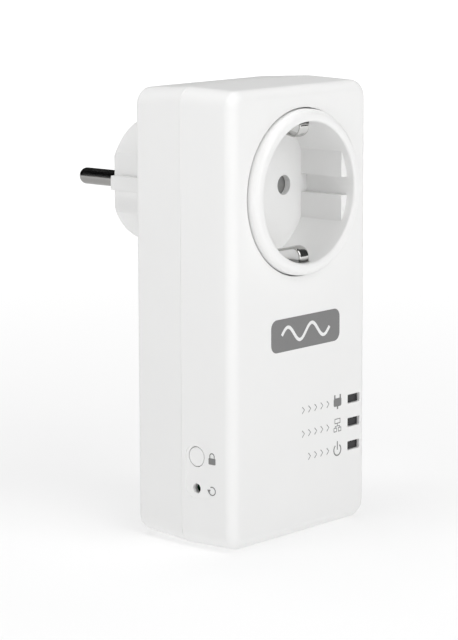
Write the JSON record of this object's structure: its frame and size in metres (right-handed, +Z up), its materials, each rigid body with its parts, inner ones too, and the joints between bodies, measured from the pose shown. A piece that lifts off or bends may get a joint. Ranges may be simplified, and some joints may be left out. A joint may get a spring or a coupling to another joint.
{
  "type": "powerline adapter",
  "caption": "Slim upright white powerline adapter: pass-through socket in the front, plug behind, recessed windows, side button and a network port below.",
  "frame": {"origin": "centre of the two plug pins on the engagement face of the plug at the back", "axes": "+Y runs out of the back along the plug pins, +Z is up along the housing's height, +X is to the right seen from the front"},
  "size_m": [0.06, 0.0788, 0.128],
  "materials": {
    "housing_white": "fine satin moulded surface",
    "plug_white": "satin",
    "socket_white": "polished",
    "shutter_grey": "satin",
    "carrier_grey": "matt",
    "nickel": "bright nickel plate",
    "spring_steel": "rolled strip",
    "clip_steel": "bright rolled strip",
    "contact_brass": "rolled brass",
    "board_green": "solder mask",
    "jack_black": "moulded",
    "jack_shield": "tin plate",
    "gold_contact": "gold plate",
    "chip_black": "moulded epoxy",
    "button_white": "satin",
    "switch_black": "moulded",
    "plunger_grey": "satin",
    "smoked_window": "smoked and polished",
    "clear_guide": "clear acrylic",
    "led_white": "encapsulated",
    "ferrite": "sintered",
    "winding_tape": "polyester tape",
    "capacitor_sleeve": "shrink sleeve",
    "capacitor_yellow": "moulded box",
    "fuse_brown": "moulded cap",
    "varistor_blue": "dipped epoxy",
    "choke_green": "coated ring",
    "optocoupler_white": "moulded epoxy",
    "pad_blue": "soft silicone",
    "heat_sink_aluminium": "extruded",
    "screw_steel": "zinc plate"
  },
  "bodies": {
    "housing": {"front_housing": "housing_white", "rear_cover": "housing_white", "plug_insert": "plug_white", "plug_pin_left": "nickel", "plug_pin_right": "nickel", "plug_earth_strip_upper": "nickel", "plug_earth_strip_lower": "nickel", "socket_insert": "socket_white", "shutter_spring": "spring_steel", "contact_carrier": "carrier_grey", "contact_sleeve_left": "contact_brass", "contact_sleeve_right": "contact_brass", "earth_bridge": "spring_steel", "earth_link": "spring_steel", "live_busbar": "contact_brass", "neutral_busbar": "contact_brass", "main_circuit_board": "board_green", "ethernet_jack": "jack_black", "ethernet_jack_shield": "jack_shield", "ethernet_contacts": "gold_contact", "ethernet_transformer": "chip_black", "security_switch": "switch_black", "reset_switch": "switch_black", "link_window": "smoked_window", "ethernet_window": "smoked_window", "power_window": "smoked_window", "light_guide": "clear_guide", "indicator_leds": "led_white", "transformer_core": "ferrite", "transformer_winding": "winding_tape", "primary_capacitor": "capacitor_sleeve", "output_capacitors": "capacitor_sleeve", "interference_capacitor": "capacitor_yellow", "fuse": "fuse_brown", "varistor": "varistor_blue", "mains_choke": "choke_green", "coupling_transformer": "chip_black", "bridge_rectifier": "chip_black", "optocoupler": "optocoupler_white", "powerline_chip": "chip_black", "thermal_pad": "pad_blue", "heat_sink": "heat_sink_aluminium", "memory_chip": "chip_black", "crystal": "jack_shield", "housing_screws": "screw_steel", "socket_screws": "screw_steel", "carrier_screws": "screw_steel", "plug_screws": "screw_steel", "board_screws": "screw_steel"},
    "button": {"security_button": "button_white"},
    "security_plunger": {"security_switch_plunger": "plunger_grey"},
    "reset_plunger": {"reset_switch_plunger": "plunger_grey"},
    "shutter": {"socket_shutter": "shutter_grey"},
    "clip_upper": {"earth_clip_upper": "clip_steel"},
    "clip_lower": {"earth_clip_lower": "clip_steel"}
  },
  "joints": [
    {"name": "button_press", "type": "slide", "parent": "housing", "child": "button", "axis": [1, 0, 0], "range_m": [0, 0.0005], "stiffness_N_per_m": 1400},
    {"name": "security_plunger_press", "type": "slide", "parent": "housing", "child": "security_plunger", "axis": [1, 0, 0], "range_m": [0, 0.0005]},
    {"name": "reset_press", "type": "slide", "parent": "housing", "child": "reset_plunger", "axis": [1, 0, 0], "range_m": [0, 0.0003], "stiffness_N_per_m": 900},
    {"name": "shutter_turn", "type": "hinge", "parent": "housing", "child": "shutter", "pos_m": [0, -0.0395, 0], "axis": [0, 1, 0], "range_deg": [0, 38], "stiffness_Nm_per_rad": 0.01},
    {"name": "upper_clip_flex", "type": "hinge", "parent": "housing", "child": "clip_upper", "pos_m": [0, -0.04, 0.0188], "axis": [-1, 0, 0], "range_deg": [0, 8], "stiffness_Nm_per_rad": 1},
    {"name": "lower_clip_flex", "type": "hinge", "parent": "housing", "child": "clip_lower", "pos_m": [0, -0.04, -0.0188], "axis": [1, 0, 0], "range_deg": [0, 8], "stiffness_Nm_per_rad": 1}
  ],
  "couplings": [
    {"joint": "security_plunger_press", "follows": "button_press", "ratio": 1}
  ]
}
